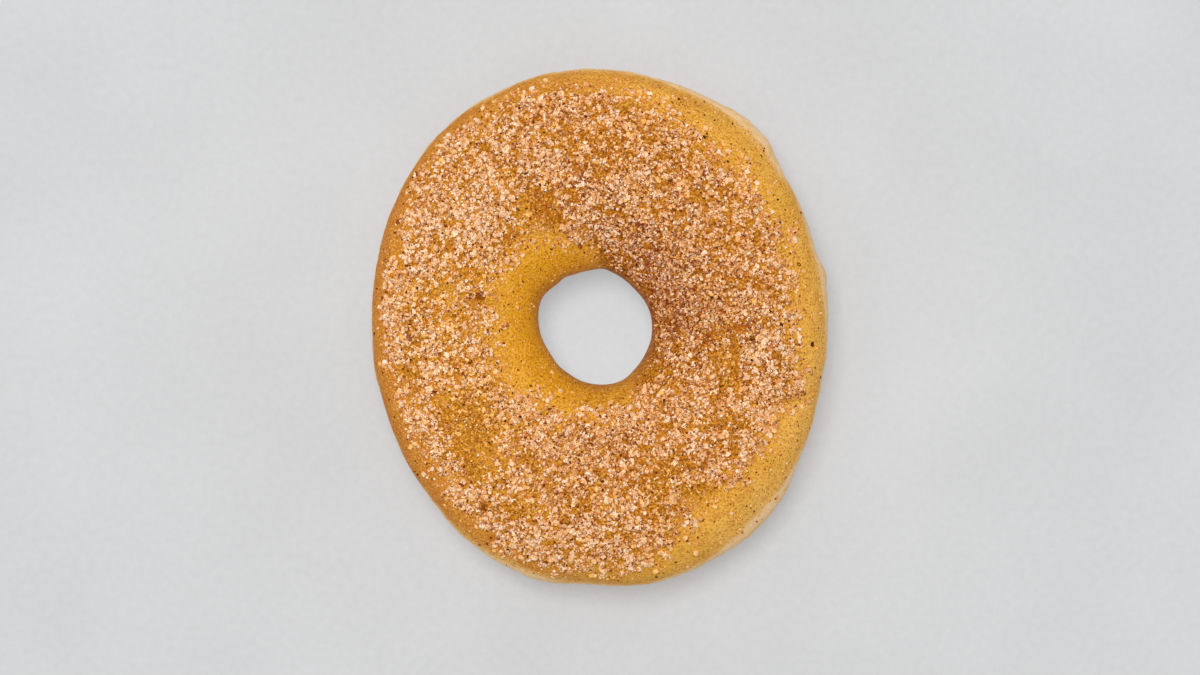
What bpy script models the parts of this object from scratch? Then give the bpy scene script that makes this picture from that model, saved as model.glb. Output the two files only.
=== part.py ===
"""Apple cinnamon doughnut: a yeast-raised ring, fried on both faces, with lumps of cinnamon sugar on top.

The frame is metres with +Z up. The ring lies on its underside on the plane z = 0, with the centre of its
bounding box over the origin. +X runs across the ring's short way and +Y along its long way. Angles round
the ring are in degrees, counted from +X towards +Y.
"""

import math
import random

import bmesh
import bpy
from mathutils import Matrix, Vector, noise

# The ring in plan
WIDTH = 0.0886
LENGTH = 0.1002
HOLE_RADIUS = 0.0110
HOLE_CENTRE = Vector((-0.0008, 0.0002, 0.0))

# The ring in section: the waist is the pale line where the dough floated in the oil
HEIGHT = 0.0290
WAIST_HEIGHT = 0.0128
BASE_PRESSED_IN = 0.0004
OUTER_FULLNESS = 2.35
INNER_FULLNESS = 2.1
FUNNEL_DEPTH = 0.0005
FUNNEL_CURVE = 1.5
WAIST_SPREAD = 20.0
WAIST_AT = -4.0

# Swells, each as (angle round the ring, height, spread of the angle)
CRUST_SWELLS = (
    (132.0, 0.0015, 28.0),
    (150.0, 0.0003, 14.0),
    (190.0, 0.0005, 9.0),
    (286.0, 0.0013, 13.0),
    (326.0, 0.0007, 17.0),
    (355.0, 0.0003, 6.0),
    (69.0, 0.0004, 11.0),
    (105.0, 0.0003, 7.0),
)
WAIST_SWELLS = (
    (54.0, 0.0021, 10.0),
    (47.5, 0.0006, 3.5),
    (8.0, 0.0006, 9.0),
    (13.5, 0.0007, 3.0),
    (309.0, 0.0024, 15.0),
    (319.0, 0.0004, 6.0),
    (248.0, 0.0012, 13.0),
    (259.0, 0.0006, 7.0),
    (235.0, 0.0004, 4.0),
)
HOLE_SWELLS = (
    (82.0, 0.0004, 9.0),
    (122.0, 0.0003, 7.0),
    (155.0, 0.0007, 17.0),
    (213.0, -0.0007, 22.0),
    (243.0, -0.0003, 13.0),
    (295.0, 0.0006, 24.0),
    (45.0, -0.0005, 20.0),
)
CROWN_SWELLS = ((30.0, 0.0006, 50.0), (200.0, -0.0008, 45.0), (285.0, 0.0004, 30.0))
FUNNEL_SWELLS = ((185.0, 0.0016, 55.0),)

# Gentle unevenness of the skin, each as (length of a wave, height)
SKIN_WAVES = ((0.019, 0.00045), (0.0075, 0.00016))
SKIN_FADE_HEIGHT = 0.004

# Lumps of sugar, set out along a golden-angle spiral over the crown and each then shifted a little
LUMP_COUNT = 250
LUMP_SEED = 11
GOLDEN_ANGLE = 137.508
LUMP_SHIFT = 0.0016
LUMP_LENGTH = (0.0013, 0.0027)
LUMP_BREADTH = (0.62, 0.85)
LUMP_THICKNESS = 0.62
LUMP_ROUGHNESS = 0.25
LUMP_BUMP_SIZE = 0.5
LUMP_NOISE_REACH = 100.0
LUMP_SINK = 0.12
LUMP_CLEAR_OF_EDGE = 0.0010
DROP_HEIGHT = 2 * HEIGHT
BARE_RIM = 0.0022
BARE_RIM_SWELLS = ((56.0, 0.0060, 17.0), (4.0, 0.0040, 14.0), (315.0, 0.0068, 22.0), (225.0, 0.0015, 25.0))
BARE_HOLE = 0.0030
BARE_HOLE_SWELLS = ((165.0, 0.0070, 45.0), (235.0, 0.0050, 40.0))

# Fineness of the faceted ring
ROUND_STEPS = 72
SECTION_STEPS = 32
TORUS_RADIUS = 0.03
TORUS_THICKNESS = 0.015

CRUST_COLOUR = (0.66, 0.32, 0.07, 1.0)
CRUST_ROUGHNESS = 0.55
SHARPEST_SMOOTH_EDGE = 35.0


def swell(angle, places):
    """The sum of the swells at this angle round the ring."""
    total = 0.0
    for centre, height, spread in places:
        apart = (angle - centre + 180.0) % 360.0 - 180.0
        total += height * math.exp(-((apart / spread) ** 2))
    return total


def outer_edge(angle):
    """The crust's outer edge in plan: an oval with its swells."""
    turn = math.radians(angle)
    long_way = LENGTH / 2 * math.cos(turn)
    short_way = WIDTH / 2 * math.sin(turn)
    radius = LENGTH * WIDTH / 4 / math.hypot(long_way, short_way) + swell(angle, CRUST_SWELLS)
    return Vector((radius * math.cos(turn), radius * math.sin(turn), 0.0))


def hole_edge(angle):
    """The hole's edge in plan, round the hole's own centre."""
    turn = math.radians(angle)
    radius = HOLE_RADIUS + swell(angle, HOLE_SWELLS)
    return HOLE_CENTRE + Vector((radius * math.cos(turn), radius * math.sin(turn), 0.0))


def rounded(value, fullness):
    """A sine or cosine drawn out towards a squarer curve."""
    return math.copysign(abs(value) ** (2.0 / fullness), value)


def uneven(point):
    """The height of the skin's unevenness at a point."""
    total = 0.0
    for length, height in SKIN_WAVES:
        total += height * noise.noise(point / length)
    return total


def skin_point(angle, lift):
    """The point of the skin at an angle round the ring and an angle round its section, which is 0 outermost,
    90 on the crown, 180 at the hole and 270 underneath."""
    outer = outer_edge(angle)
    inner = hole_edge(angle)
    outward = (outer - inner).normalized()
    turn = math.radians(lift)
    fullness = INNER_FULLNESS + (OUTER_FULLNESS - INNER_FULLNESS) * (1 + math.cos(turn)) / 2
    across = rounded(math.cos(turn), fullness)
    up = rounded(math.sin(turn), fullness)
    point = (outer + inner) / 2 + (outer - inner) / 2 * across

    from_waist = (lift - WAIST_AT + 180.0) % 360.0 - 180.0
    point += outward * swell(angle, WAIST_SWELLS) * math.exp(-((from_waist / WAIST_SPREAD) ** 2))

    if up > 0:
        crown = HEIGHT - WAIST_HEIGHT + swell(angle, CROWN_SWELLS)
        funnel = FUNNEL_DEPTH + swell(angle, FUNNEL_SWELLS)
        point.z = WAIST_HEIGHT + (crown - funnel * max(0.0, -across) ** FUNNEL_CURVE) * up
    else:
        point.z = WAIST_HEIGHT + (WAIST_HEIGHT + BASE_PRESSED_IN) * up

    fade = min(1.0, max(0.0, point.z / SKIN_FADE_HEIGHT))
    normal = outward * across + Vector((0.0, 0.0, up))
    point += normal.normalized() * uneven(point) * fade
    point.z = max(0.0, point.z)
    return point


def centre_in_plan(mesh):
    """Moves a mesh so that its bounding box is centred over the origin."""
    xs = [vertex.co.x for vertex in mesh.vertices]
    ys = [vertex.co.y for vertex in mesh.vertices]
    middle = Vector(((min(xs) + max(xs)) / 2, (min(ys) + max(ys)) / 2, 0.0))
    mesh.transform(Matrix.Translation(-middle))


def make_ring(name):
    """The bare doughnut: a torus whose points are moved onto the doughnut's own skin."""
    bpy.ops.mesh.primitive_torus_add(
        major_segments=ROUND_STEPS,
        minor_segments=SECTION_STEPS,
        major_radius=TORUS_RADIUS,
        minor_radius=TORUS_THICKNESS,
    )
    ring = bpy.context.object
    ring.name = name
    ring.data.name = name
    for vertex in ring.data.vertices:
        angle = math.degrees(math.atan2(vertex.co.y, vertex.co.x))
        lift = math.degrees(math.atan2(vertex.co.z, math.hypot(vertex.co.x, vertex.co.y) - TORUS_RADIUS))
        vertex.co = skin_point(angle, lift)
    centre_in_plan(ring.data)
    ring.data.shade_smooth()
    return ring


def is_sugared(place):
    """Whether sugar lies over this point of the plan, clear of the bare rim and of the bare skin at the hole."""
    angle = math.degrees(math.atan2(place.y, place.x))
    from_rim = (outer_edge(angle) - place).length
    from_hole = (place - hole_edge(angle)).length
    bare_rim = BARE_RIM + swell(angle, BARE_RIM_SWELLS)
    bare_hole = BARE_HOLE + swell(angle, BARE_HOLE_SWELLS)
    return from_rim > bare_rim + LUMP_CLEAR_OF_EDGE and from_hole > bare_hole + LUMP_CLEAR_OF_EDGE


def make_lump(name, place, normal, draw):
    """One lump of sugar crystals: a rough, flattened ball lying on the skin."""
    length = draw.uniform(*LUMP_LENGTH)
    thickness = length * LUMP_THICKNESS
    roughness_place = Vector((draw.uniform(0.0, LUMP_NOISE_REACH), 0.0, 0.0))
    bm = bmesh.new()
    bmesh.ops.create_icosphere(bm, subdivisions=1, radius=0.5)
    for vertex in bm.verts:
        vertex.co *= 1.0 + LUMP_ROUGHNESS * noise.noise(vertex.co / LUMP_BUMP_SIZE + roughness_place)
    size = Matrix.Diagonal((length, length * draw.uniform(*LUMP_BREADTH), thickness, 1.0))
    heading = Matrix.Rotation(draw.uniform(0.0, math.tau), 4, "Z")
    stand = normal.to_track_quat("Z", "Y").to_matrix().to_4x4()
    seat = Matrix.Translation(place - normal * thickness * LUMP_SINK)
    bmesh.ops.transform(bm, matrix=seat @ stand @ heading @ size, verts=bm.verts)
    mesh = bpy.data.meshes.new(name)
    bm.to_mesh(mesh)
    bm.free()
    return bpy.data.objects.new(name, mesh)


def spiral_place(number):
    """The place of one lump on a spiral that covers the plan evenly from the hole's edge to the outer edge."""
    angle = number * GOLDEN_ANGLE
    inner, outer = hole_edge(angle), outer_edge(angle)
    hole_share = inner.length / outer.length
    reach = math.sqrt(hole_share**2 + (number + 0.5) / LUMP_COUNT * (1 - hole_share**2))
    return inner + (outer - inner) * (reach - hole_share) / (1 - hole_share)


def make_lumps(ring, collection):
    """Sets out the lumps over the sugared part of the crown."""
    draw = random.Random(LUMP_SEED)
    for number in range(LUMP_COUNT):
        shift = Vector((draw.uniform(-LUMP_SHIFT, LUMP_SHIFT), draw.uniform(-LUMP_SHIFT, LUMP_SHIFT), 0.0))
        place = spiral_place(number) + shift
        if not is_sugared(place):
            continue
        above = place + Vector((0.0, 0.0, DROP_HEIGHT))
        found, seat, normal, _ = ring.ray_cast(above, Vector((0.0, 0.0, -1.0)))
        if found:
            collection.objects.link(make_lump(f"lump_{number:03d}", seat, normal, draw))


def fuse(ring, collection):
    """Joins everything in the collection to the ring and removes the collection."""
    join = ring.modifiers.new("fuse_sugar", "BOOLEAN")
    join.operation = "UNION"
    join.operand_type = "COLLECTION"
    join.collection = collection
    join.solver = "EXACT"
    bpy.context.view_layer.objects.active = ring
    bpy.ops.object.modifier_apply(modifier=join.name)
    for lump in list(collection.objects):
        bpy.data.objects.remove(lump)
    bpy.data.collections.remove(collection)


def crust_material():
    """Golden-brown fried crust."""
    material = bpy.data.materials.new("golden_crust")
    material.use_nodes = True
    shader = material.node_tree.nodes["Principled BSDF"]
    shader.inputs["Base Color"].default_value = CRUST_COLOUR
    shader.inputs["Roughness"].default_value = CRUST_ROUGHNESS
    shader.inputs["Metallic"].default_value = 0.0
    return material


def main():
    for old in list(bpy.data.objects):
        bpy.data.objects.remove(old)

    parts = bpy.data.collections.new("apple_cinnamon_doughnut")
    sugar = bpy.data.collections.new("sugar_lumps")
    bpy.context.scene.collection.children.link(parts)
    bpy.context.scene.collection.children.link(sugar)

    ring = make_ring("doughnut")
    for holder in list(ring.users_collection):
        holder.objects.unlink(ring)
    parts.objects.link(ring)
    ring.data.materials.append(crust_material())

    make_lumps(ring, sugar)
    fuse(ring, sugar)
    ring.data.set_sharp_from_angle(angle=math.radians(SHARPEST_SMOOTH_EDGE))


main()
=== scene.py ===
"""An apple cinnamon doughnut: a fried ring of yeast dough, strewn with cinnamon sugar.

Metres, +Z up. The ring lies with its underside on the plane z = 0 and its box centred over the origin.
Angles round the ring are in degrees, counted from +X towards +Y.
"""

import math
import random
from functools import partial
from typing import NamedTuple

import bmesh
import bpy
import numpy as np
from mathutils import Matrix, Vector, noise
from mathutils.bvhtree import BVHTree


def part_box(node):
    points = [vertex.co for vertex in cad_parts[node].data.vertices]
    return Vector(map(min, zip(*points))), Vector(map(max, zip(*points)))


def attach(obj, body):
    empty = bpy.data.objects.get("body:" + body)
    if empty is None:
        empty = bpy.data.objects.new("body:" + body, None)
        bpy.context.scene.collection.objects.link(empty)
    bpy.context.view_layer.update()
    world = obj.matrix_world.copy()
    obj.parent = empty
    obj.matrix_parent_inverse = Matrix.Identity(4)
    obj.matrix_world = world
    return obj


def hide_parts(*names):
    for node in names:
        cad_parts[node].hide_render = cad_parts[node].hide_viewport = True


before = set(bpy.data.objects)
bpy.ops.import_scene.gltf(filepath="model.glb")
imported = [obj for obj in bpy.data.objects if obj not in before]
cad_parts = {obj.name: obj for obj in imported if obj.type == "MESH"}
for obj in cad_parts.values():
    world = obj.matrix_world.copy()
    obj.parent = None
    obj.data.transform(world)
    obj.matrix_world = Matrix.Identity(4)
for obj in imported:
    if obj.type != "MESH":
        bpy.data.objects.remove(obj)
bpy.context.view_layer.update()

# Unless it is seeded, noise.noise_vector differs from run to run
noise.seed_set(1)

# The ring of dough
# Yeast dough with a hole pressed through it, proved and then fried while it floated in oil, one face after
# the other. Both faces are golden brown, and the waist, which neither frying reached, is a pale band.

WIDTH = 0.0886
LENGTH = 0.1002
HOLE_RADIUS = 0.0110
HOLE_CENTRE = Vector((-0.0008, 0.0002, 0.0))
HEIGHT = 0.0290
WAIST_HEIGHT = 0.0128
BASE_PRESSED_IN = 0.0004
OUTER_FULLNESS = 2.35
INNER_FULLNESS = 2.1
FUNNEL_DEPTH = 0.0005
FUNNEL_CURVE = 1.5
WAIST_SPREAD = 20.0
WAIST_AT = -4.0

# Swells, each as (angle round the ring, height, spread of the angle)
CRUST_SWELLS = (
    (132.0, 0.0015, 28.0),
    (150.0, 0.0003, 14.0),
    (190.0, 0.0005, 9.0),
    (286.0, 0.0013, 13.0),
    (326.0, 0.0007, 17.0),
    (355.0, 0.0003, 6.0),
    (69.0, 0.0004, 11.0),
    (105.0, 0.0003, 7.0),
)
WAIST_SWELLS = (
    (54.0, 0.0021, 10.0),
    (47.5, 0.0006, 3.5),
    (8.0, 0.0006, 9.0),
    (13.5, 0.0007, 3.0),
    (309.0, 0.0024, 15.0),
    (319.0, 0.0004, 6.0),
    (248.0, 0.0012, 13.0),
    (259.0, 0.0006, 7.0),
    (235.0, 0.0004, 4.0),
)
HOLE_SWELLS = (
    (82.0, 0.0004, 9.0),
    (122.0, 0.0003, 7.0),
    (155.0, 0.0007, 17.0),
    (213.0, -0.0007, 22.0),
    (243.0, -0.0003, 13.0),
    (295.0, 0.0006, 24.0),
    (45.0, -0.0005, 20.0),
)
CROWN_SWELLS = ((30.0, 0.0006, 50.0), (200.0, -0.0008, 45.0), (285.0, 0.0004, 30.0))
FUNNEL_SWELLS = ((185.0, 0.0016, 55.0),)

# Unevenness of the skin, each as (length of a wave, height)
SKIN_WAVES = ((0.019, 0.00045), (0.0075, 0.00016))
SKIN_DIMPLES = ((0.0034, 0.00006), (0.0014, 0.000022))
WAIST_CREASES = ((0.0013, 0.00015),)
CREASES_DRAWN_OUT = 5.0
SKIN_FADE_HEIGHT = 0.004

ROUND_STEPS = 420
SECTION_STEPS = 176
TORUS_RADIUS = 0.03
TORUS_THICKNESS = 0.015


def apart_round(angle, centre):
    """How far an angle lies from another, from -180 to 180."""
    return (angle - centre + 180.0) % 360.0 - 180.0


def swell(angle, places):
    """The sum of the swells at this angle round the ring."""
    return sum(height * math.exp(-((apart_round(angle, at) / spread) ** 2)) for at, height, spread in places)


def round_point(radius, angle):
    """The point of the plan at a radius and an angle."""
    turn = math.radians(angle)
    return Vector((radius * math.cos(turn), radius * math.sin(turn), 0.0))


def outer_radius(angle):
    """The crust's outer edge in plan: an oval with its swells."""
    turn = math.radians(angle)
    oval = LENGTH * WIDTH / 4 / math.hypot(LENGTH / 2 * math.cos(turn), WIDTH / 2 * math.sin(turn))
    return oval + swell(angle, CRUST_SWELLS)


def hole_radius(angle):
    """The hole's edge in plan, measured from the hole's own centre."""
    return HOLE_RADIUS + swell(angle, HOLE_SWELLS)


def rounded(value, fullness):
    """A sine or cosine drawn out towards a squarer curve."""
    return math.copysign(abs(value) ** (2.0 / fullness), value)


def uneven(point, waves):
    """The height of an unevenness at a point."""
    return sum(height * noise.noise(point / length) for length, height in waves)


def skin_point(angle, lift):
    """The point of the skin at an angle round the ring and an angle round its section, which is 0 outermost,
    90 on the crown, 180 at the hole and 270 underneath."""
    outer = round_point(outer_radius(angle), angle)
    inner = HOLE_CENTRE + round_point(hole_radius(angle), angle)
    outward = (outer - inner).normalized()
    turn = math.radians(lift)
    fullness = INNER_FULLNESS + (OUTER_FULLNESS - INNER_FULLNESS) * (1 + math.cos(turn)) / 2
    across = rounded(math.cos(turn), fullness)
    up = rounded(math.sin(turn), fullness)
    point = (outer + inner) / 2 + (outer - inner) / 2 * across
    from_waist = apart_round(lift, WAIST_AT)
    point += outward * swell(angle, WAIST_SWELLS) * math.exp(-((from_waist / WAIST_SPREAD) ** 2))
    if up > 0:
        crown = HEIGHT - WAIST_HEIGHT + swell(angle, CROWN_SWELLS)
        funnel = FUNNEL_DEPTH + swell(angle, FUNNEL_SWELLS)
        point.z = WAIST_HEIGHT + (crown - funnel * max(0.0, -across) ** FUNNEL_CURVE) * up
    else:
        point.z = WAIST_HEIGHT + (WAIST_HEIGHT + BASE_PRESSED_IN) * up
    fade = min(1.0, max(0.0, point.z / SKIN_FADE_HEIGHT))
    normal = outward * across + Vector((0.0, 0.0, up))
    point += normal.normalized() * uneven(point, SKIN_WAVES) * fade
    point.z = max(0.0, point.z)
    return point


def eased(low, high, value):
    """0 below low, 1 above high and a smooth rise between them."""
    share = min(1.0, max(0.0, (value - low) / (high - low)))
    return share * share * (3.0 - 2.0 * share)


def round_the_ring(*stops):
    """A value that is given at some angles round the ring, worked out for every half degree."""
    angles, values = zip(*stops)
    return np.interp(np.arange(0.0, 360.0, 0.5), angles, values, period=360.0).tolist()


def at_angle(angle, values):
    """Reads such a value at an angle."""
    return values[round(angle * 2) % len(values)]


ring_mesh = bmesh.new()
bmesh.ops.create_circle(
    ring_mesh,
    segments=SECTION_STEPS,
    radius=TORUS_THICKNESS,
    matrix=Matrix.Translation((TORUS_RADIUS, 0.0, 0.0)) @ Matrix.Rotation(math.radians(90.0), 4, "X"),
)
bmesh.ops.spin(
    ring_mesh,
    geom=ring_mesh.verts[:] + ring_mesh.edges[:],
    cent=(0.0, 0.0, 0.0),
    axis=(0.0, 0.0, 1.0),
    angle=math.tau,
    steps=ROUND_STEPS,
    use_merge=True,
)
bmesh.ops.recalc_face_normals(ring_mesh, faces=ring_mesh.faces)

# Where each point of the skin sits round the ring and round its section, for its shape, masks and map
ring_angles = []
ring_lifts = []
ring_mesh.verts.index_update()
for vertex in ring_mesh.verts:
    x, y, z = vertex.co
    ring_angles.append(math.degrees(math.atan2(y, x)) % 360.0)
    ring_lifts.append(math.degrees(math.atan2(z, math.hypot(x, y) - TORUS_RADIUS)) % 360.0)
for vertex in ring_mesh.verts:
    vertex.co = skin_point(ring_angles[vertex.index], ring_lifts[vertex.index])

low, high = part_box("doughnut")
xs = [vertex.co.x for vertex in ring_mesh.verts]
ys = [vertex.co.y for vertex in ring_mesh.verts]
to_middle = Vector(((low.x + high.x - min(xs) - max(xs)) / 2, (low.y + high.y - min(ys) - max(ys)) / 2, 0.0))
bmesh.ops.translate(ring_mesh, vec=to_middle, verts=ring_mesh.verts)

# The pale waist in degrees of the section: how high its upper edge lies by the angle round the ring, where
# its lower edge lies, how softly they fade and how much they wander
PALE_TOP = round_the_ring(
    (0.0, 17.0), (20.0, 22.0), (34.0, 14.0), (42.0, 22.0), (55.0, 20.0), (66.0, 20.0), (85.0, 17.0),
    (120.0, 12.0), (150.0, 10.0), (180.0, 10.0), (215.0, 9.0), (235.0, 12.0), (250.0, 16.0), (265.0, 13.0),
    (280.0, 14.0), (298.0, 14.0), (312.0, 22.0), (325.0, 17.0), (340.0, 17.0),
)
PALE_TOP_FADE = 10.0
PALE_BOTTOM = -17.0
PALE_BOTTOM_FADE = 8.0
PALE_WANDER = 4.0
PALE_WANDER_LENGTH = 0.009
PALE_IN_HOLE = 0.12
PALE_IN_HOLE_REACH = 20.0


def paleness(angle, lift, point):
    """1 on the pale waist and 0 on the fried faces."""
    wander = PALE_WANDER * noise.noise(point / PALE_WANDER_LENGTH)
    wander += PALE_WANDER / 2 * noise.noise(point / PALE_WANDER_LENGTH * 3)
    from_outermost = apart_round(lift, 0.0)
    top = at_angle(angle, PALE_TOP) + wander
    bottom = PALE_BOTTOM + wander
    band = eased(top + PALE_TOP_FADE, top - PALE_TOP_FADE, from_outermost)
    band *= eased(bottom - PALE_BOTTOM_FADE, bottom + PALE_BOTTOM_FADE, from_outermost)
    from_hole = apart_round(lift, 180.0) + wander
    inside = PALE_IN_HOLE * math.exp(-((from_hole / PALE_IN_HOLE_REACH) ** 2))
    return max(band, inside)


# How brown the crust is on its outer slope by the angle round the ring, on its crown and underneath, and how
# far out and how far down the browning of the slope and of the underside set in. On the outer slope the
# deeper brown on the left, from about 90 to 265 degrees, is partly frying and partly painted shade, and the
# values below 0, from about 285 to 30 degrees, are painted light, a lighter gold on the lower right
RIM_BROWNING_AND_LIGHT = round_the_ring(
    (0.0, -0.45), (30.0, -0.20), (55.0, 0.05), (90.0, 0.45), (120.0, 0.75), (150.0, 0.95), (230.0, 0.85),
    (265.0, 0.4), (285.0, 0.0), (300.0, -0.45), (330.0, -0.60),
)
CROWN_BROWNING = 0.15
UNDERSIDE_BROWNING = 1.15
RIM_SETS_IN = (0.25, 0.85)
UNDERSIDE_SETS_IN = (0.1, 0.5)
MOTTLING = ((0.006, 0.38),)


def browning_and_painted_light(angle, lift, point):
    """0 where the crust is a light gold, 1 where it is a deep orange brown, partly painted shade on the left
    of the rim, and -1 where a lighter gold is painted light on the lower right of the rim.
    """
    outward = max(0.0, math.cos(math.radians(lift)))
    up = math.sin(math.radians(lift))
    amount = at_angle(angle, RIM_BROWNING_AND_LIGHT) * eased(*RIM_SETS_IN, outward) + CROWN_BROWNING * (1 - outward)
    if up <= 0:
        amount = max(amount, UNDERSIDE_BROWNING * eased(*UNDERSIDE_SETS_IN, -up))
    return amount + uneven(point, MOTTLING)


# Skin that the sugar left bare round the hole, and in from the rim, each as (angle round the ring, width)
BARE_HOLE = round_the_ring(
    (0.0, 0.0), (60.0, 0.0), (80.0, 0.0012), (92.0, 0.0032), (135.0, 0.0087), (180.0, 0.0066),
    (208.0, 0.0078), (225.0, 0.0066), (270.0, 0.0050), (300.0, 0.0025), (330.0, 0.0008),
)
BARE_RIM = round_the_ring(
    (0.0, 0.0062), (10.0, 0.0062), (27.0, 0.0042), (40.0, 0.0062), (54.0, 0.0085), (68.0, 0.0055),
    (82.0, 0.0034), (105.0, 0.0014), (137.0, 0.0), (148.0, 0.0020), (163.0, 0.0022), (185.0, 0.0022),
    (217.0, 0.0034), (240.0, 0.0038), (260.0, 0.0022), (275.0, 0.0019), (285.0, 0.0034), (295.0, 0.0085),
    (317.0, 0.0090), (330.0, 0.0067), (341.0, 0.0033), (349.0, 0.0040),
)

# Patches that cinnamon has stained brown, each as (x, y, radius, strength)
STAINS = (
    (-0.0039, 0.0279, 0.0055, 0.6),
    (-0.0171, 0.0170, 0.0019, 0.9),
    (-0.0108, 0.0228, 0.0036, 0.5),
    (-0.0233, 0.0058, 0.0013, 1.2),
    (-0.0222, -0.0342, 0.0012, 1.2),
    (0.0140, 0.0015, 0.0065, 0.7),
    (0.0094, 0.0128, 0.0048, 0.7),
    (0.0020, 0.0190, 0.0045, 0.3),
    (0.0240, 0.0004, 0.0014, 0.6),
    (0.0272, 0.0003, 0.0016, 0.8),
    (0.0306, 0.0001, 0.0013, 0.6),
    (0.0225, -0.0018, 0.0030, 0.5),
    (0.0200, 0.0180, 0.0080, 0.25),
    (-0.0255, -0.0087, 0.0022, 0.5),
    (0.0010, 0.0348, 0.0034, 0.4),
    (0.0239, 0.0099, 0.0013, 0.6),
    (0.0118, -0.0279, 0.0025, 0.4),
    (-0.0049, -0.0319, 0.0034, 0.35),
    (-0.0333, -0.0142, 0.0025, 0.3),
)


def from_hole(place):
    """How far a place in plan lies from the hole's edge."""
    arm = place - HOLE_CENTRE
    return math.hypot(arm.x, arm.y) - hole_radius(math.degrees(math.atan2(arm.y, arm.x)))


def from_rim(place):
    """How far a place in plan lies in from the outline."""
    angle = math.degrees(math.atan2(place.y, place.x))
    return outer_radius(angle) + swell(angle, WAIST_SWELLS) - math.hypot(place.x, place.y)


PATCH_WANDER = 0.0011
PATCH_WANDER_LENGTH = 0.0028
PATCH_REACH = 2.5


def patchwork(place, patches):
    """The sum of some soft patches at a place in plan, which are round but for a wandering edge."""
    strayed = place + PATCH_WANDER * noise.noise_vector(place / PATCH_WANDER_LENGTH)
    total = 0.0
    for x, y, radius, strength in patches:
        reach = PATCH_REACH * radius
        if abs(strayed.x - x) < reach and abs(strayed.y - y) < reach:
            total += strength * math.exp(-((strayed.x - x) ** 2 + (strayed.y - y) ** 2) / radius**2)
    return total


# Places where the sugar lies thin and the skin shows amber through it, each as (x, y, radius, amount)
THIN_PLACES = (
    (-0.0108, 0.0225, 0.0036, -0.80), (-0.0171, 0.0170, 0.0020, -0.60), (-0.0073, 0.0379, 0.0018, -0.45),
    (0.0010, 0.0355, 0.0034, -0.35), (-0.0175, 0.0289, 0.0019, -0.50), (-0.0316, 0.0070, 0.0021, -0.45),
    (-0.0235, 0.0103, 0.0019, -0.45), (-0.0275, 0.0019, 0.0017, -0.35), (-0.0269, -0.0075, 0.0018, -0.45),
    (-0.0190, -0.0090, 0.0048, -0.32), (-0.0255, -0.0150, 0.0030, -0.38), (-0.0378, -0.0085, 0.0017, -0.45),
    (-0.0306, -0.0136, 0.0022, -0.45), (-0.0243, -0.0211, 0.0046, -0.75), (-0.0237, -0.0287, 0.0027, -0.60),
    (-0.0151, -0.0356, 0.0027, -0.60), (-0.0118, -0.0281, 0.0021, -0.45), (0.0250, -0.0092, 0.0027, -0.60),
    (0.0258, -0.0048, 0.0018, -0.50), (0.0240, 0.0004, 0.0013, -0.55), (0.0272, 0.0003, 0.0016, -0.70),
    (0.0306, 0.0001, 0.0013, -0.50), (0.0237, -0.0177, 0.0021, -0.50), (-0.0233, 0.0058, 0.0011, -0.10),
    (-0.0222, -0.0342, 0.0010, -0.20), (0.0122, -0.0277, 0.0027, -0.50), (0.0108, -0.0319, 0.0023, -0.45),
    (0.0196, -0.0323, 0.0036, -0.60), (0.0124, -0.0385, 0.0017, -0.35), (0.0192, 0.0323, 0.0015, -0.35),
    (0.0239, 0.0099, 0.0013, -0.60),
)

# How much cinnamon powder clings to the oily skin under the sugar, by the angle round the ring
DUSTING = round_the_ring(
    (0.0, 1.0), (60.0, 0.95), (90.0, 0.98), (130.0, 0.72), (180.0, 0.60), (230.0, 0.70), (270.0, 0.82),
    (320.0, 0.88),
)
DUSTING_DRIFT = ((0.0065, 0.35),)
AMBER_WHERE_THIN = 0.05
# Painted shade on the slope down into the hole on its lower side, by the angle round the ring and deepest at
# 270 degrees, and how it fades out away from the hole's edge; it is drawn in the cinnamon powder's browns
SHADE_BY_THE_HOLE = round_the_ring(
    (180.0, 0.0), (212.0, 0.22), (240.0, 0.32), (270.0, 0.45), (300.0, 0.35), (330.0, 0.0)
)
SHADE_FADES_FROM_HOLE = (0.009, 0.003)

# How softly the wet skin under the sugar ends, and how far down the hole it reaches where the sugar comes up
# to it
SYRUP_EDGE = (-0.0015, 0.0075)
SYRUP_DOWN_THE_HOLE = 0.007
SUGARED_UP_TO_HOLE = (0.0045, 0.0)
LOWEST_LIFT_IN_HOLE = 200.0

# How wide a strip of bare skin has to be to look yellow, and at which lifts in the hole it no longer does
SAFFRON_EDGE = 0.005
SAFFRON_ENDS_BELOW = (215.0, 185.0)


def syrup(angle, lift, point):
    """1 where sugar lies on the skin and has drawn it wet and clear, and 0 on the bare skin."""
    if lift > LOWEST_LIFT_IN_HOLE:
        return 0.0
    bare = at_angle(angle, BARE_HOLE)
    down_the_hole = SYRUP_DOWN_THE_HOLE * eased(*SUGARED_UP_TO_HOLE, bare)
    in_from_rim = from_rim(point) - at_angle(angle, BARE_RIM)
    in_from_hole = from_hole(point) - bare + down_the_hole
    return eased(*SYRUP_EDGE, min(in_from_rim, in_from_hole))


def dusting_and_hole_shade(angle, lift, point):
    """1 where the skin under the sugar is brown with cinnamon powder, and on the hole's lower slope, where
    the same brown is painted shade, and 0 elsewhere.
    """
    amber = -AMBER_WHERE_THIN * patchwork(point, THIN_PLACES)
    under_sugar = at_angle(angle, DUSTING) + amber + uneven(point, DUSTING_DRIFT)
    # Painted shade on the hole's lower slope
    shade_by_the_hole = at_angle(angle, SHADE_BY_THE_HOLE) * eased(*SHADE_FADES_FROM_HOLE, from_hole(point))
    return max(syrup(angle, lift, point) * under_sugar, shade_by_the_hole * (lift < LOWEST_LIFT_IN_HOLE))


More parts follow.
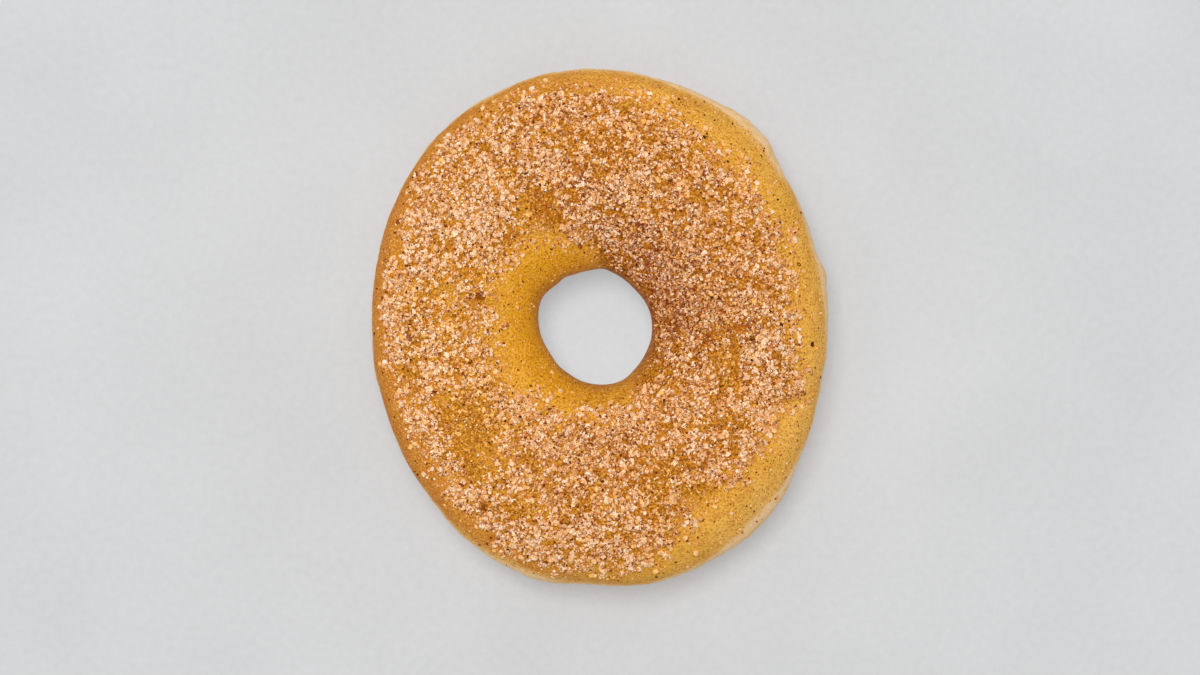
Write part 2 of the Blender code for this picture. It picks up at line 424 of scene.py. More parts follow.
def saffron(angle, lift, point):
    """1 on the clear yellow skin that slopes into the hole and 0 away from it."""
    bare = at_angle(angle, BARE_HOLE)
    amount = eased(0.0, SAFFRON_EDGE, bare) * eased(*SAFFRON_ENDS_BELOW, lift)
    return amount * eased(bare + SAFFRON_EDGE, bare - SAFFRON_EDGE, from_hole(point))


def staining(angle, lift, point):
    """How strongly cinnamon has stained the skin of the upper side."""
    return patchwork(point, STAINS) * (lift < 180.0)


MASKS = (
    ("pale", paleness), ("browning_and_painted_light", browning_and_painted_light), ("saffron", saffron), ("syrup", syrup), ("dusting_and_hole_shade", dusting_and_hole_shade),
    ("stain", staining),
)
skin_places = list(zip(ring_angles, ring_lifts, (vertex.co for vertex in ring_mesh.verts)))
masks = {name: [amount(*place) for place in skin_places] for name, amount in MASKS}

# Dimples all over the skin, and small creases that run up and down across the waist
ring_mesh.normal_update()
for vertex in ring_mesh.verts:
    point = vertex.co
    fade = eased(0.0, SKIN_FADE_HEIGHT, point.z)
    drawn_in = Vector((point.x, point.y, point.z / CREASES_DRAWN_OUT))
    relief = uneven(point, SKIN_DIMPLES) + uneven(drawn_in, WAIST_CREASES) * masks["pale"][vertex.index]
    vertex.co = point + vertex.normal * relief * fade

# A flat map of the skin, round the ring one way and round its section the other
ring_map = ring_mesh.loops.layers.uv.new("OFBake")
for face in ring_mesh.faces:
    angles = [ring_angles[loop.vert.index] for loop in face.loops]
    lifts = [ring_lifts[loop.vert.index] for loop in face.loops]
    for loop, angle, lift in zip(face.loops, angles, lifts):
        u = angle + 360.0 * (max(angles) - angle > 180.0)
        v = lift + 360.0 * (max(lifts) - lift > 180.0)
        loop[ring_map].uv = (u / 360.0, v / 360.0)

ring_data = bpy.data.meshes.new("doughnut_ring")
ring_mesh.to_mesh(ring_data)
ring_mesh.free()
ring_data.shade_smooth()
for name, values in masks.items():
    ring_data.attributes.new(name, "FLOAT", "POINT").data.foreach_set("value", values)
ring = bpy.data.objects.new("doughnut_ring", ring_data)
bpy.context.scene.collection.objects.link(ring)


class Wire:
    """One socket of a material. Sums on it add Math nodes, so a mask reads like a formula."""

    def __init__(self, tree, socket=None):
        self.tree = tree
        self.socket = socket

    def node(self, kind, settings, inputs, output=0):
        """Adds a node, gives it its settings and then its inputs, and returns one of its outputs."""
        made = self.tree.nodes.new(kind)
        for name, value in settings.items():
            setattr(made, name, value)
        for key, value in inputs.items():
            if isinstance(value, Wire):
                self.tree.links.new(value.socket, made.inputs[key])
            else:
                made.inputs[key].default_value = value
        return Wire(self.tree, made.outputs[output])

    def maths(self, operation, first, second):
        """Adds a Math node."""
        return self.node("ShaderNodeMath", {"operation": operation}, {0: first, 1: second})

    def __add__(self, other):
        return self.maths("ADD", self, other)

    def __radd__(self, other):
        return self.maths("ADD", other, self)

    def __sub__(self, other):
        return self.maths("SUBTRACT", self, other)

    def __rsub__(self, other):
        return self.maths("SUBTRACT", other, self)

    def __mul__(self, other):
        return self.maths("MULTIPLY", self, other)

    def __rmul__(self, other):
        return self.maths("MULTIPLY", other, self)

    def between(self, low, high):
        """0 at low, 1 at high and a smooth rise between them."""
        inputs = {"Value": self, "From Min": low, "From Max": high}
        return self.node("ShaderNodeMapRange", {"interpolation_type": "SMOOTHSTEP"}, inputs)

    def mask(self, name):
        """Reads one of the piece's own masks."""
        return self.node("ShaderNodeAttribute", {"attribute_name": name}, {}, output="Fac")

    def grain(self, length, detail=2.0, stretch=(1.0, 1.0, 1.0)):
        """Noise on the piece's own coordinates, about 0.5, with waves of that length."""
        coordinates = self.node("ShaderNodeTexCoord", {}, {}, output="Object")
        drawn = self.node("ShaderNodeMapping", {}, {"Vector": coordinates, "Scale": stretch})
        inputs = {"Vector": drawn, "Scale": 1.0 / length, "Detail": detail}
        return self.node("ShaderNodeTexNoise", {}, inputs)

    def blend(self, share, under, over, way="MIX"):
        """Lays one colour over another by a share."""
        settings = {"data_type": "RGBA", "blend_type": way}
        return self.node("ShaderNodeMix", settings, {0: share, 6: under, 7: over}, output=2)


def shade(red, green, blue):
    """A colour as it is seen on a screen, from 0 to 255, as the share of light that it gives back."""
    values = [value / 255.0 for value in (red, green, blue)]
    return (*(v / 12.92 if v <= 0.04045 else ((v + 0.055) / 1.055) ** 2.4 for v in values), 1.0)


def new_material(name, roughness, shine):
    """A material with its Principled shader, and a first wire to build on."""
    material = bpy.data.materials.new(name)
    material.use_nodes = True
    shader = material.node_tree.nodes["Principled BSDF"]
    shader.inputs["Roughness"].default_value = roughness
    shader.inputs["Specular IOR Level"].default_value = shine
    return material, shader, Wire(material.node_tree)


# A lighter gold, painted light on the lower right of the rim
PAINTED_LIGHT_GOLD = shade(250, 190, 92)
LIGHT_GOLD = shade(233, 171, 68)
DEEP_GOLD = shade(210, 130, 48)
CLEAR_YELLOW = shade(232, 163, 20)
SYRUP_GOLD = shade(208, 140, 28)
PEACH_DOUGH = shade(248, 190, 108)
PALE_DOUGH = shade(254, 220, 176)
# The cinnamon powder's browns, which also paint shade on the hole's lower slope
POWDER_AND_SHADE_BROWN = shade(186, 108, 16)
DARK_POWDER_AND_SHADE = shade(122, 60, 6)
CINNAMON_STAIN = shade(170, 86, 14)
FRECKLE_BROWN = shade(146, 82, 14)
FRY_LIGHT = shade(248, 198, 90)

# How strongly each layer of colour covers those under it
PATCH_COVER = 0.45
SAFFRON_COVER = 0.85
SYRUP_COVER = 0.75
POWDER_AND_SHADE_COVER = 0.90
STAIN_COVER = 0.80
PEACH_COVER = 0.80
PALE_COVER = 0.90
FRECKLE_COVER = 0.45
FRY_DARK_COVER = 0.60
FRY_LIGHT_COVER = 0.54
STREAK_COVER = 0.45
BLOTCH_COVER = 0.35

# How much the noises, which are about 0.5, shift the masks and so break up their edges
FRYING_MOTTLE = 0.5
DUST_SPECKLE = 1.1
DUST_MOTTLE = 0.6
STAIN_PATCHINESS = 1.4
PALE_RAGGEDNESS = 0.6

# Where between bare and full each mask begins and ends to show
# The lighter gold of the painted light on the lower right of the rim shows from 0 down to -0.8
PAINTED_LIGHT_FROM = (0.0, -0.8)
DUST_AND_SHADE_SHOW = (0.0, 1.1)
STAINS_SHOW = (0.05, 1.0)
PEACH_SHOWS = (0.05, 0.50)
PALE_SHOWS = (0.45, 0.85)

# The parts of a noise that count as a patch, a freckle and so on
PATCHES_SHOW = (0.48, 0.70)
BLOTCHES_SHOW = (0.45, 0.65)
STREAKS_SHOW = (0.42, 0.68)
DARK_POWDER_SHOWS = (0.44, 0.60)
FRECKLES_SHOW = (0.64, 0.76)
FRY_DARK_SHOWS = (0.48, 0.70)
FRY_LIGHT_SHOWS = (0.48, 0.30)
MARKS_LEFT_OFF_PALE = 0.8

RELIEF_STRENGTH = 0.35
RELIEF_HEIGHT = 0.00012

crust, crust_shader, wire = new_material("golden_crust", 0.5, 0.03)
pores = wire.grain(0.0009, detail=4.0)
mottle = wire.grain(0.0045, detail=3.0)
powder = wire.grain(0.00050, detail=3.0)
patches = wire.grain(0.0018, detail=3.0)
freckles = wire.grain(0.0011, detail=2.0)
fry_marks = wire.grain(0.00042, detail=2.0)
streaks = wire.grain(0.0014, detail=4.0, stretch=(1.0, 1.0, 0.45))
ragged = wire.grain(0.0020, detail=3.0)

# Gold, browner by its frying and on the left of the rim partly by painted shade, a lighter gold where light
# is painted on the lower right of the rim, and yellow by the hole
fried_and_lit = wire.mask("browning_and_painted_light") + (mottle - 0.5) * FRYING_MOTTLE
skin = wire.blend(fried_and_lit.between(0.0, 1.0), LIGHT_GOLD, DEEP_GOLD)
skin = wire.blend(fried_and_lit.between(*PAINTED_LIGHT_FROM), skin, PAINTED_LIGHT_GOLD)
skin = wire.blend(patches.between(*PATCHES_SHOW) * PATCH_COVER, skin, DEEP_GOLD)
skin = wire.blend(wire.mask("saffron") * SAFFRON_COVER, skin, CLEAR_YELLOW)

# Wet with sugar, dusted with cinnamon and stained by it; the powder's browns are also painted shade on the
# hole's lower slope
skin = wire.blend(wire.mask("syrup") * SYRUP_COVER, skin, SYRUP_GOLD)
dusted_and_shaded = wire.mask("dusting_and_hole_shade") + (powder - 0.5) * DUST_SPECKLE + (mottle - 0.5) * DUST_MOTTLE
powder_and_shade_colour = wire.blend(powder.between(*DARK_POWDER_SHOWS), POWDER_AND_SHADE_BROWN, DARK_POWDER_AND_SHADE)
skin = wire.blend(dusted_and_shaded.between(*DUST_AND_SHADE_SHOW) * POWDER_AND_SHADE_COVER, skin, powder_and_shade_colour)
stained = wire.mask("stain") + (patches - 0.5) * STAIN_PATCHINESS * wire.mask("stain")
skin = wire.blend(stained.between(*STAINS_SHOW) * STAIN_COVER, skin, CINNAMON_STAIN)

# Pale at the waist, with a peach-coloured edge
pale = wire.mask("pale") + (ragged - 0.5) * PALE_RAGGEDNESS
skin = wire.blend(pale.between(*PEACH_SHOWS) * PEACH_COVER, skin, PEACH_DOUGH)
pale = pale.between(*PALE_SHOWS)
peachy = streaks.between(*STREAKS_SHOW) * STREAK_COVER + mottle.between(*BLOTCHES_SHOW) * BLOTCH_COVER
skin = wire.blend(pale * PALE_COVER, skin, wire.blend(peachy, PALE_DOUGH, PEACH_DOUGH))

# The marks that the hot oil left
skin = wire.blend(freckles.between(*FRECKLES_SHOW) * FRECKLE_COVER * (1 - pale), skin, FRECKLE_BROWN)
dark_marks = fry_marks.between(*FRY_DARK_SHOWS) * FRY_DARK_COVER * (1 - pale * MARKS_LEFT_OFF_PALE)
skin = wire.blend(dark_marks, skin, FRECKLE_BROWN)
skin = wire.blend(fry_marks.between(*FRY_LIGHT_SHOWS) * FRY_LIGHT_COVER, skin, FRY_LIGHT)

relief = pores * 0.6 + mottle * 0.6 + powder * 0.3 + streaks * pale
bump_inputs = {"Strength": RELIEF_STRENGTH, "Distance": RELIEF_HEIGHT, "Height": relief}
bump = wire.node("ShaderNodeBump", {}, bump_inputs)
crust.node_tree.links.new(skin.socket, crust_shader.inputs["Base Color"])
crust.node_tree.links.new((0.44 + pores * 0.16 + pale * 0.14).socket, crust_shader.inputs["Roughness"])
crust.node_tree.links.new(bump.socket, crust_shader.inputs["Normal"])
ring_data.materials.append(crust)
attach(ring, "root")
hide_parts("doughnut")

# The sugar
# Granulated sugar, tossed with ground cinnamon and thrown on the warm, oily crown, where the crystals stuck
# one by one and in clumps. The largest are the whitest, and the finest often wear a coat of cinnamon.

# Places where the sugar lies thicker than elsewhere, each as (x, y, radius, amount)
THICK_PLACES = (
    (-0.0251, 0.0240, 0.0062, 0.40), (-0.0333, 0.0221, 0.0045, 0.30), (-0.0386, 0.0103, 0.0030, 0.35),
    (-0.0410, 0.0015, 0.0027, 0.35), (-0.0412, -0.0040, 0.0024, 0.30), (-0.0324, -0.0030, 0.0020, 0.35),
    (-0.0329, -0.0085, 0.0022, 0.35), (-0.0396, -0.0132, 0.0026, 0.30), (-0.0343, -0.0215, 0.0036, 0.45),
    (-0.0271, -0.0323, 0.0036, 0.45), (-0.0224, -0.0364, 0.0030, 0.40), (-0.0169, -0.0397, 0.0035, 0.40),
    (-0.0082, -0.0426, 0.0045, 0.40), (-0.0014, -0.0456, 0.0030, 0.25), (-0.0241, -0.0064, 0.0028, 0.40),
    (-0.0206, -0.0123, 0.0022, 0.35), (-0.0165, -0.0158, 0.0024, 0.35), (-0.0049, -0.0205, 0.0070, 0.30),
    (0.0059, -0.0191, 0.0050, 0.30), (0.0182, -0.0091, 0.0019, 0.40), (0.0145, -0.0158, 0.0022, 0.30),
    (0.0327, -0.0030, 0.0046, 0.35), (0.0306, -0.0150, 0.0040, 0.35), (0.0369, -0.0105, 0.0025, 0.30),
    (0.0327, -0.0199, 0.0024, 0.30), (0.0218, -0.0274, 0.0022, 0.35), (0.0278, -0.0285, 0.0022, 0.35),
    (0.0265, -0.0356, 0.0010, 0.70), (0.0155, -0.0381, 0.0020, 0.30), (0.0031, -0.0391, 0.0042, 0.30),
    (0.0110, -0.0409, 0.0020, 0.20), (0.0225, 0.0025, 0.0022, 0.35), (0.0285, 0.0045, 0.0024, 0.40),
    (0.0378, 0.0191, 0.0020, 0.60), (0.0249, 0.0262, 0.0020, 0.35), (0.0192, 0.0295, 0.0024, 0.35),
    (0.0314, 0.0258, 0.0024, 0.35), (0.0057, 0.0272, 0.0030, 0.30), (-0.0106, 0.0305, 0.0036, 0.35),
    (-0.0129, 0.0375, 0.0022, 0.35), (-0.0045, 0.0413, 0.0020, 0.35), (-0.0157, 0.0426, 0.0016, 0.40),
    (-0.0022, 0.0205, 0.0036, 0.40), (-0.0225, 0.0154, 0.0026, 0.30), (0.0120, 0.0140, 0.0060, 0.30),
    (0.0170, 0.0040, 0.0050, 0.25),
)
USUAL_AMOUNT = 0.52
NEARLY_NONE = 0.02

# The clumps, as (length of a wave, strength), and the amounts at which crystals begin to stick and cover all
CLUMPS = ((0.0034, 0.72), (0.0014, 1.20))
BARE_TO_COVERED = (0.20, 0.72)
EDGE_SOFTNESS = 0.0034
EDGE_WANDER = 0.0026
EDGE_WANDER_LENGTH = 0.0052
STEEPEST_HOLD = 0.22
KEPT_OFF_OUTLINE = 0.0016

# Where the sugar is fine, brown and lies more evenly, at the side of the hole
FINE_ZONE = ((0.0150, 0.0060, 0.0120, 1.0), (0.0060, 0.0180, 0.0080, 0.6), (-0.0040, -0.0200, 0.0080, 0.4))
EVENER_WHERE_FINE = 0.4


def bounded(value):
    """The value, kept between 0 and 1."""
    return min(1.0, max(0.0, value))


def smoothly(value, softness):
    """0 well below zero, 1 well above it and a soft edge between."""
    return eased(-softness, softness, value)


def sugar_amount(place, thinning=1.0):
    """How much sugar fell at a place in plan: 0 is bare and 1 is covered. The fine sugar thins out less."""
    angle = math.degrees(math.atan2(place.y, place.x))
    wander = EDGE_WANDER * noise.noise(place / EDGE_WANDER_LENGTH)
    in_from_rim = from_rim(place) - at_angle(angle, BARE_RIM) + wander
    in_from_hole = from_hole(place) - at_angle(angle, BARE_HOLE) + wander
    amount = USUAL_AMOUNT + patchwork(place, THICK_PLACES) + thinning * patchwork(place, THIN_PLACES)
    return amount * smoothly(in_from_rim, EDGE_SOFTNESS) * smoothly(in_from_hole, EDGE_SOFTNESS)


def sugar_chance(place, thinning, sparse):
    """The chance that a crystal stuck at a place: higher in the clumps, and at least a sparse one."""
    if from_rim(place) < KEPT_OFF_OUTLINE:
        return 0.0
    amount = sugar_amount(place, thinning)
    if amount < NEARLY_NONE:
        return sparse
    unevenly = 1.0 - EVENER_WHERE_FINE * bounded(patchwork(place, FINE_ZONE))
    gathered = amount + amount * unevenly * uneven(place, CLUMPS)
    return max(sparse, eased(*BARE_TO_COVERED, gathered))


def as_arrays(shape):
    """Turns a small shape into its points and triangles."""
    shape.verts.index_update()
    points = np.array([vertex.co[:] for vertex in shape.verts])
    triangles = np.array([[vertex.index for vertex in face.verts] for face in shape.faces])
    shape.free()
    return points, triangles


# How far a cut faces away from its corner, and how deep it goes
CUT_FACING = (0.35, 1.0)
CUT_DEPTH = (0.10, 0.24)


def cut_block(draw, cuts, slant):
    """One crystal, about a unit long: a slanted block with some of its corners cut off."""
    block = bmesh.new()
    bmesh.ops.create_cube(block, size=1.0)
    lean = Matrix.Identity(4)
    lean[0][1] = draw.uniform(-slant, slant)
    lean[0][2] = draw.uniform(-slant, slant)
    lean[1][2] = draw.uniform(-slant, slant)
    bmesh.ops.transform(block, matrix=lean, verts=block.verts)
    corners = [Vector((i, j, k)) for i in (-1, 1) for j in (-1, 1) for k in (-1, 1)]
    for corner in draw.sample(corners, cuts):
        facing = Vector([side * draw.uniform(*CUT_FACING) for side in corner]).normalized()
        tip = lean @ (corner * 0.5)
        everything = block.verts[:] + block.edges[:] + block.faces[:]
        cut_at = tip - facing * draw.uniform(*CUT_DEPTH)
        cut = bmesh.ops.bisect_plane(
            block, geom=everything, plane_co=cut_at, plane_no=facing, clear_outer=True
        )
        rim = [part for part in cut["geom_cut"] if isinstance(part, bmesh.types.BMEdge)]
        bmesh.ops.holes_fill(block, edges=rim)
    bmesh.ops.triangulate(block, faces=block.faces)
    bmesh.ops.recalc_face_normals(block, faces=block.faces)
    return as_arrays(block)


CHIP_RADIUS = 0.6
CHIP_HEIGHT = 0.9
CHIP_UNEVENNESS = 0.15


def split_chip(draw):
    """One of the finest crystals, about a unit long: a leaning pyramid."""
    chip = bmesh.new()
    bmesh.ops.create_cone(
        chip, cap_ends=True, segments=4, radius1=CHIP_RADIUS, radius2=0.0, depth=CHIP_HEIGHT
    )
    for vertex in chip.verts:
        vertex.co += Vector([draw.uniform(-CHIP_UNEVENNESS, CHIP_UNEVENNESS) for _ in range(3)])
    bmesh.ops.triangulate(chip, faces=chip.faces)
    return as_arrays(chip)


DROPPED_FROM = 2 * HEIGHT


class Heap:
    """What lies on the crown so far: later grains come to rest on the earlier ones."""

    def __init__(self, surface):
        depsgraph = bpy.context.evaluated_depsgraph_get()
        self.skin = BVHTree.FromObject(surface, depsgraph)
        self.layers = []

    def add(self, points, triangles):
        self.layers.append(BVHTree.FromPolygons(points.tolist(), triangles.tolist(), all_triangles=True))

    def drop(self, place):
        """Where something dropped at a place in plan comes to rest: the point, the skin's facing and the
        height over the skin, or None."""
        above = Vector((place.x, place.y, DROPPED_FROM))
        down = Vector((0.0, 0.0, -1.0))
        skin, facing, _, _ = self.skin.ray_cast(above, down)
        if skin is None or facing.z < STEEPEST_HOLD:
            return None
        top = skin
        for layer in self.layers:
            hit = layer.ray_cast(above, down)[0]
            if hit is not None and hit.z > top.z:
                top = hit
        return top, facing, top.z - skin.z


def scatter(draw, count, tries, chance, heap, highest):
    """Draws places in plan until a count of them have held a grain, and returns where the grains rest."""
    rests = []
    reach_x, reach_y = WIDTH / 2, LENGTH / 2
    for _ in range(tries):
        place = Vector((draw.uniform(-reach_x, reach_x), draw.uniform(-reach_y, reach_y), 0.0))
        luck = draw.random()
        if luck > chance(place):
            continue
        rest = heap.drop(place)
        if rest is None or rest[2] > highest:
            continue
        rests.append(rest)
        if len(rests) == count:
            break
    return rests


def grain_matrix(draw, rest, length, sizes, tilt, sink):
    """Stands one grain on the place where it rests: turned any way round, and tilted a little."""
    top, facing, _ = rest
    size = Vector((length, length * draw.uniform(*sizes[0]), length * draw.uniform(*sizes[1])))
    stand = facing.to_track_quat("Z", "Y").to_matrix()
    turn = Matrix.Rotation(draw.uniform(0.0, math.tau), 3, "Z")
    lean = Matrix.Rotation(draw.gauss(0.0, tilt), 3, "X") @ Matrix.Rotation(draw.gauss(0.0, tilt), 3, "Y")
    seat = top + facing * size.z * (0.5 - sink)
    return np.array(stand @ lean @ turn @ Matrix.Diagonal(size)), np.array(seat)


# How much of the map one grain takes up
SPOT = 0.004


def join_grains(name, shapes, matrices, seats, tints, coats, draw):
    """Joins one copy of a shape for each grain into a single piece. Its map holds each grain's whiteness
    across and its coat upwards, which goes from clear and golden through plain to brown with cinnamon, so
    that every grain has one colour."""
    all_points, all_triangles, all_spots = [], [], []
    start = 0
    which = np.array([draw.randrange(len(shapes)) for _ in matrices])
    for number, (points, triangles) in enumerate(shapes):
        chosen = np.flatnonzero(which == number)
        if not len(chosen):
            continue
        placed = np.einsum("nij,vj->nvi", matrices[chosen], points) + seats[chosen][:, None, :]
        offsets = start + np.arange(len(chosen)) * len(points)
        all_points.append(placed.reshape(-1, 3))
        all_triangles.append((triangles[None] + offsets[:, None, None]).reshape(-1, 3))
        spot = np.stack([tints[chosen], coats[chosen]], 1) * (1 - 2 * SPOT) + SPOT
        corners = np.array([(0.0, 0.0), (SPOT, 0.0), (0.0, SPOT)])
        each = spot[:, None, None, :] + corners[None, None] + np.zeros((1, len(triangles), 1, 1))
        all_spots.append(each.reshape(-1, 2))
        start += placed.shape[0] * placed.shape[1]
    points = np.concatenate(all_points)
    triangles = np.concatenate(all_triangles)
    data = bpy.data.meshes.new(name)
    data.vertices.add(len(points))
    data.vertices.foreach_set("co", points.ravel())
    data.loops.add(triangles.size)
    data.loops.foreach_set("vertex_index", triangles.ravel())
    data.polygons.add(len(triangles))
    data.polygons.foreach_set("loop_start", np.arange(0, triangles.size, 3))
    data.update(calc_edges=True)
    data.uv_layers.new(name="OFBake").uv.foreach_set("vector", np.concatenate(all_spots).ravel())
    data.shade_flat()
    piece = bpy.data.objects.new(name, data)
    bpy.context.scene.collection.objects.link(piece)
    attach(piece, "root")
    return piece, points, triangles


TAN_SUGAR = shade(218, 148, 80)
PEACH_SUGAR = shade(243, 189, 129)
WHITE_SUGAR = shade(255, 226, 192)
GOLDEN_SUGAR = shade(244, 190, 92)
CINNAMON_COAT = shade(148, 74, 16)

# The coat of a plain grain, below which they turn clear and golden, and above which they turn brown, and the
# whiteness at which they are no longer tan, and at which they begin to be white
PLAIN_COAT = 0.2
NO_LONGER_TAN = 0.55
BEGINS_WHITE = 0.45
GOLDEN_COVER = 0.85

sugar, sugar_shader, wire = new_material("cinnamon_sugar", 0.3, 0.0)
grain_map = wire.node("ShaderNodeUVMap", {"uv_map": "OFBake"}, {})
# Across the map, whiteness also holds the painted light of grains that rest high on the heap
whiteness = wire.node("ShaderNodeSeparateXYZ", {}, {"Vector": grain_map}, output="X")
coat = wire.node("ShaderNodeSeparateXYZ", {}, {"Vector": grain_map}, output="Y")
crystal = wire.blend(whiteness.between(0.0, NO_LONGER_TAN), TAN_SUGAR, PEACH_SUGAR)
crystal = wire.blend(whiteness.between(BEGINS_WHITE, 1.0), crystal, WHITE_SUGAR)
crystal = wire.blend(coat.between(PLAIN_COAT, 0.0) * GOLDEN_COVER, crystal, GOLDEN_SUGAR)
coated = wire.blend(coat.between(PLAIN_COAT, 1.0), crystal, CINNAMON_COAT, way="MULTIPLY")
sugar.node_tree.links.new(coated.socket, sugar_shader.inputs["Base Color"])
sugar.node_tree.links.new((0.22 + coat * 0.5).socket, sugar_shader.inputs["Roughness"])


class GrainKind(NamedTuple):
    """One size of grain."""

    name: str
    seed: int
    count: int
    cuts: int  # corners that are cut off; the finest are chips
    lengths: tuple
    highest: float  # how high over the skin they still come to rest
    thinning: float  # how far they keep out of the thin places
    sparse: float  # their chance on bare skin
    whiteness: float
    coat: float  # how many of them wear a thick coat of cinnamon
    spread: float  # how much their whiteness varies


GRAIN_KINDS = (
    GrainKind(
        "sugar_coarse", seed=3, count=4300, cuts=6, lengths=(0.00046, 0.00100), highest=0.0004,
        thinning=0.75, sparse=0.005, whiteness=0.56, coat=0.02, spread=0.26,
    ),
    GrainKind(
        "sugar_medium", seed=5, count=9500, cuts=2, lengths=(0.00034, 0.00058), highest=0.0008,
        thinning=0.60, sparse=0.012, whiteness=0.43, coat=0.07, spread=0.34,
    ),
    GrainKind(
        "sugar_small", seed=7, count=12200, cuts=1, lengths=(0.00026, 0.00044), highest=0.0007,
        thinning=0.35, sparse=0.055, whiteness=0.36, coat=0.22, spread=0.38,
    ),
    GrainKind(
        "sugar_fine", seed=9, count=26000, cuts=0, lengths=(0.00018, 0.00032), highest=0.0010,
        thinning=0.15, sparse=0.220, whiteness=0.38, coat=0.28, spread=0.40,
    ),
)
SHAPES_OF_A_KIND = 8
TRIES_PER_GRAIN = 12
BLOCK_SLANT = 0.25
GRAIN_SIZES = ((0.6, 0.95), (0.5, 0.85))
GRAIN_TILT = 0.35
GRAIN_SINK = 0.12
FEW_LONG_GRAINS = 1.8
COARSE_SHARE_IN_FINE_ZONE = 0.25
SHARE_OUTSIDE_FINE_ZONE = 0.55

# How white the grains are: the clumps take turns of being white and tan, and grains that rest high on the
# heap are whiter, as painted light, which leaves those low among the others tanner, as painted shade
CLUMP_TINTS = ((0.0018, 0.34), (0.0007, 0.32))
LIGHT_PAINTED_ON_TOP = 0.25
HIGH_ON_TOP = 0.0006
WHITE_PLACES = (
    (-0.0280, 0.0120, 0.0240, 0.18), (-0.0345, -0.0200, 0.0070, 0.12), (-0.0265, -0.0325, 0.0070, 0.16),
    (-0.0160, -0.0400, 0.0070, 0.14), (0.0295, 0.0035, 0.0050, 0.14), (0.0345, -0.0020, 0.0048, 0.15),
    (0.0310, -0.0090, 0.0060, 0.10), (0.0000, -0.0400, 0.0080, 0.14), (0.0000, 0.0215, 0.0060, 0.12),
)

# The coats, and how many of the grains wear which
THICK_COAT = (0.60, 1.0)
THIN_COAT = (0.22, 0.42)
NO_COAT = (0.0, 0.12)
COATED_ON_STAINS = 0.55
COATED_WHERE_FINE = 0.16
CLEAR_SHARE = 0.12
CLEAR_WHERE_BARE = 0.55
GOLDEN_PLACES = (
    (-0.0290, -0.0040, 0.0100, 0.22), (-0.0240, -0.0160, 0.0060, 0.15), (-0.0300, 0.0080, 0.0060, 0.12),
)


def share_by_fineness(kind, place):
    """Coarse grains keep out of the fine zone, and the others crowd there."""
    fineness = min(1.0, patchwork(place, FINE_ZONE))
    if kind.name == "sugar_coarse":
        return 1.0 - (1.0 - COARSE_SHARE_IN_FINE_ZONE) * fineness
    return SHARE_OUTSIDE_FINE_ZONE + (1.0 - SHARE_OUTSIDE_FINE_ZONE) * fineness


def grain_chance(kind, place):
    """The chance that a grain of a kind stuck at a place."""
    return sugar_chance(place, kind.thinning, kind.sparse) * share_by_fineness(kind, place)


heap = Heap(ring)
for kind in GRAIN_KINDS:
    draw = random.Random(kind.seed)
    cut = partial(cut_block, draw, kind.cuts, BLOCK_SLANT) if kind.cuts else partial(split_chip, draw)
    shapes = [cut() for _ in range(SHAPES_OF_A_KIND)]
    tries = TRIES_PER_GRAIN * kind.count
    matrices, seats, tints, coats = [], [], [], []
    for rest in scatter(draw, kind.count, tries, partial(grain_chance, kind), heap, kind.highest):
        place = rest[0]
        length = kind.lengths[0] + (kind.lengths[1] - kind.lengths[0]) * draw.random() ** FEW_LONG_GRAINS
        matrix, seat = grain_matrix(draw, rest, length, GRAIN_SIZES, GRAIN_TILT, GRAIN_SINK)
        matrices.append(matrix)
        seats.append(seat)
        brown = bounded(patchwork(place, STAINS))
        fineness = bounded(patchwork(place, FINE_ZONE))
        # Painted light: the higher a grain rests on the heap, the whiter it is
        white = kind.whiteness + LIGHT_PAINTED_ON_TOP * bounded(rest[2] / HIGH_ON_TOP)
        white += uneven(place, CLUMP_TINTS)
        white += patchwork(place, WHITE_PLACES)
        tints.append(bounded(draw.gauss(white, kind.spread)))
        bareness = 1.0 - bounded(2.0 * sugar_amount(place))
        if draw.random() < kind.coat + COATED_ON_STAINS * brown**2 + COATED_WHERE_FINE * fineness:
            coats.append(draw.uniform(*THICK_COAT))
        elif draw.random() < CLEAR_SHARE + CLEAR_WHERE_BARE * bareness + patchwork(place, GOLDEN_PLACES):
            coats.append(draw.uniform(*NO_COAT))
        else:
            coats.append(draw.uniform(*THIN_COAT))
    piece, points, triangles = join_grains(
        kind.name, shapes, np.array(matrices), np.array(seats), np.array(tints), np.array(coats), draw
    )
    piece.data.materials.append(sugar)
    heap.add(points, triangles)

# The cinnamon
# Ground bark that didn't melt into the sugar: hard brown specks, strewn with it and lying on the crystals
# and on the bare skin alike.

SPECK_COUNT = 4600
SPECK_TRIES = 60000
SPECK_LENGTH = (0.00011, 0.00048)
FEW_LONG_SPECKS = 5.0
SPECKS_ON_BARE_SKIN = 0.09
SPECKS_ON_STAINS = 0.5
SPECKS_ON_SUGAR = 0.4
SPECKS_OFF_OUTLINE = 0.0003
SPECKS_OFF_HOLE = 0.0002
HIGHEST_SPECK = 0.0020
SPECK_SHAPES = 6
SPECK_SLANT = 0.45
SPECK_SIZES = ((0.45, 0.85), (0.35, 0.6))
SPECK_TILT = 0.3
SPECK_SINK = 0.1
SPECK_COAT = 0.5

